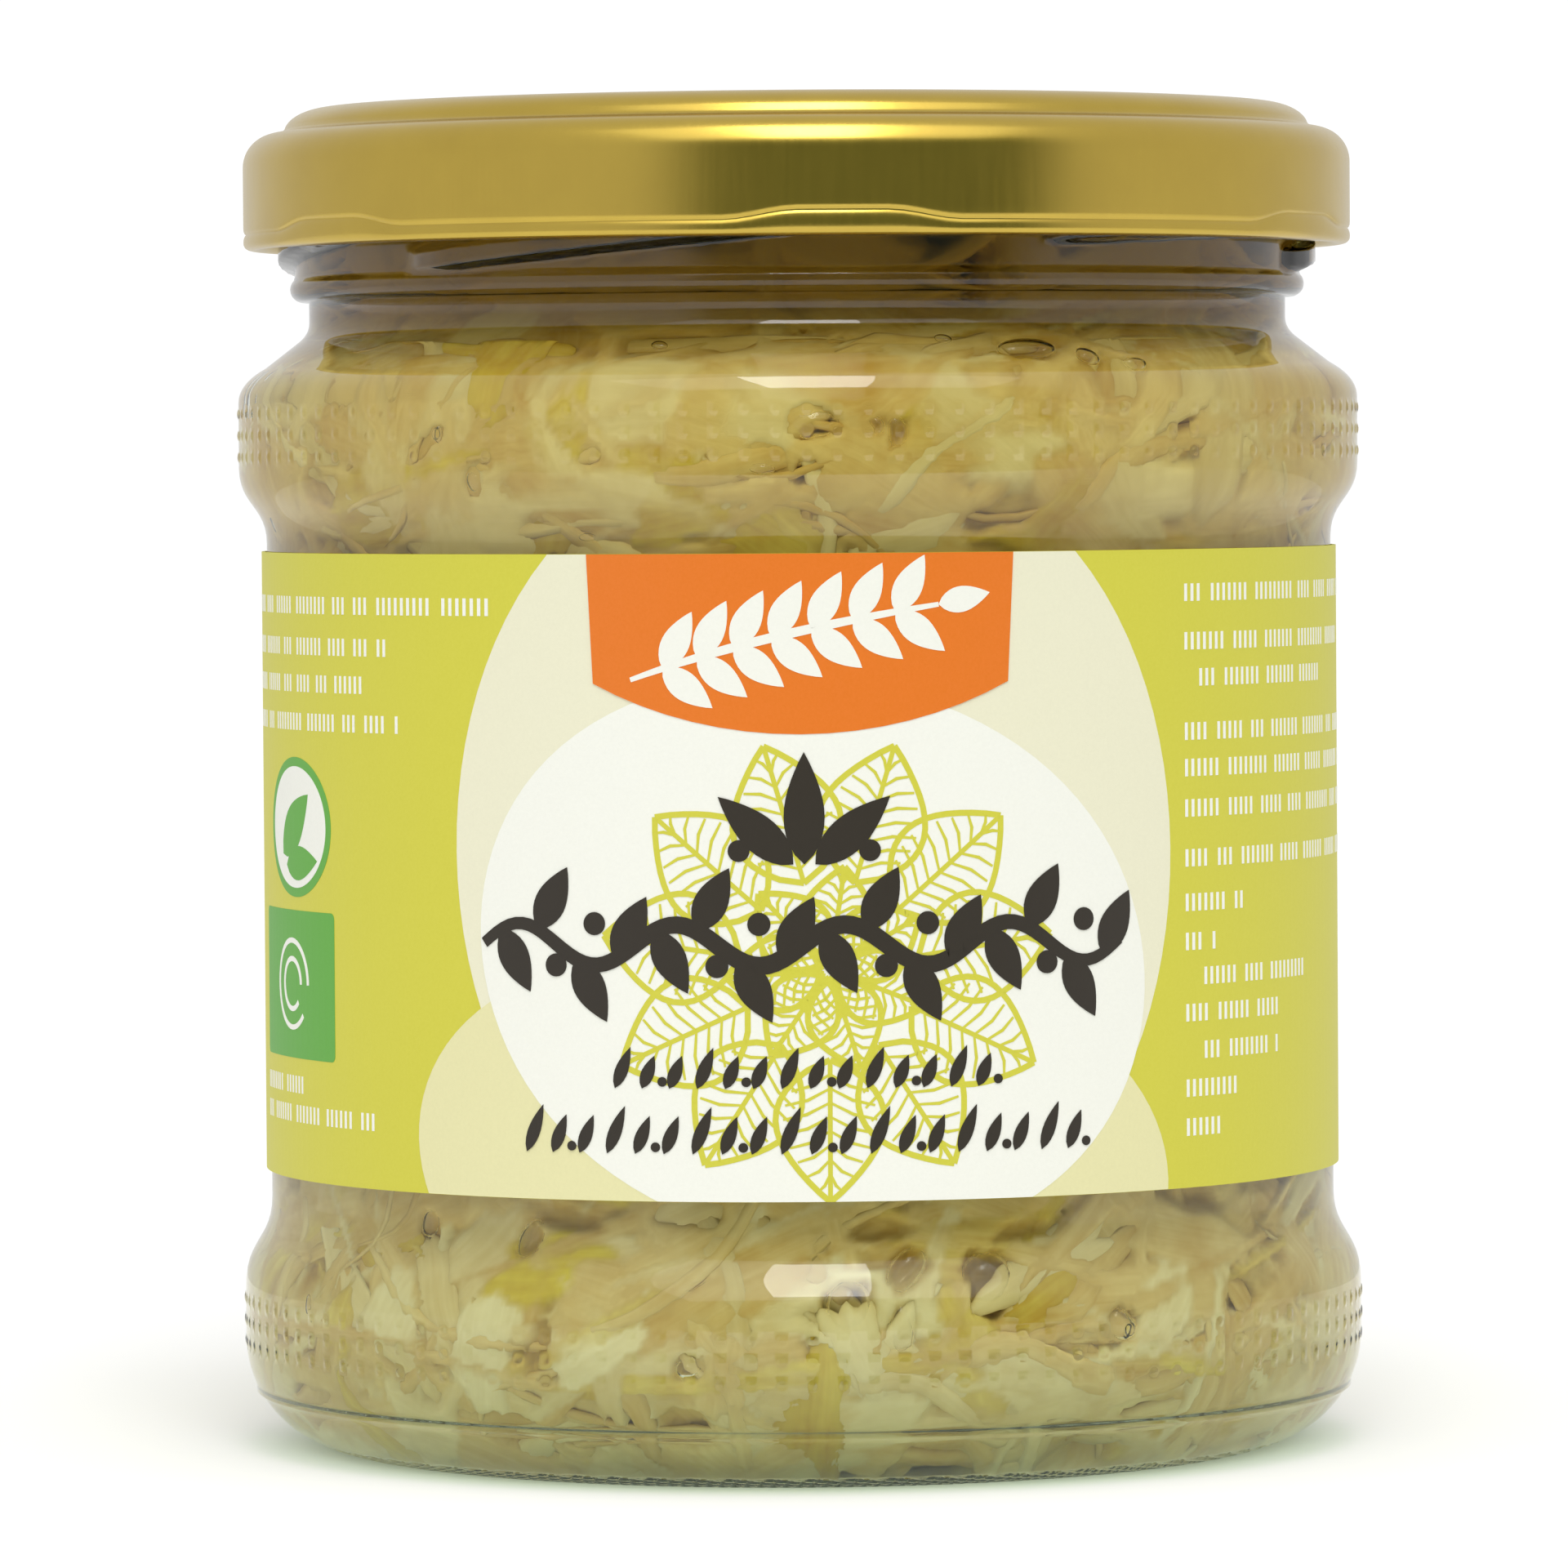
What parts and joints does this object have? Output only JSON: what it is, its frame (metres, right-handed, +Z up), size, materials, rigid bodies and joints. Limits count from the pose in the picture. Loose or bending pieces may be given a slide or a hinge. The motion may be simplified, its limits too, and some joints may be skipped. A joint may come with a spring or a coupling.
{
  "type": "sauerkraut jar",
  "caption": "Round glass preserve jar of packed sauerkraut in brine, with a gold twist-off lid and a wrap-around yellow-green paper label.",
  "frame": {"origin": "centre of the jar's foot, on the surface it stands on", "axes": "+Z up along the jar's axis, -Y towards the front of the label, +X to the right of it"},
  "size_m": [0.0862, 0.0862, 0.1029],
  "materials": {
    "glass": "clear pressed glass, faintly green",
    "lid": "gold lacquer on tinplate, satin",
    "label": "printed paper, half matt",
    "sauerkraut": "wet shredded cabbage, pale straw",
    "brine": "clear pale yellow brine"
  },
  "bodies": {
    "root": {"jar_glass": "glass", "lid": "lid", "label": "label", "sauerkraut": "sauerkraut"}
  },
  "joints": []
}
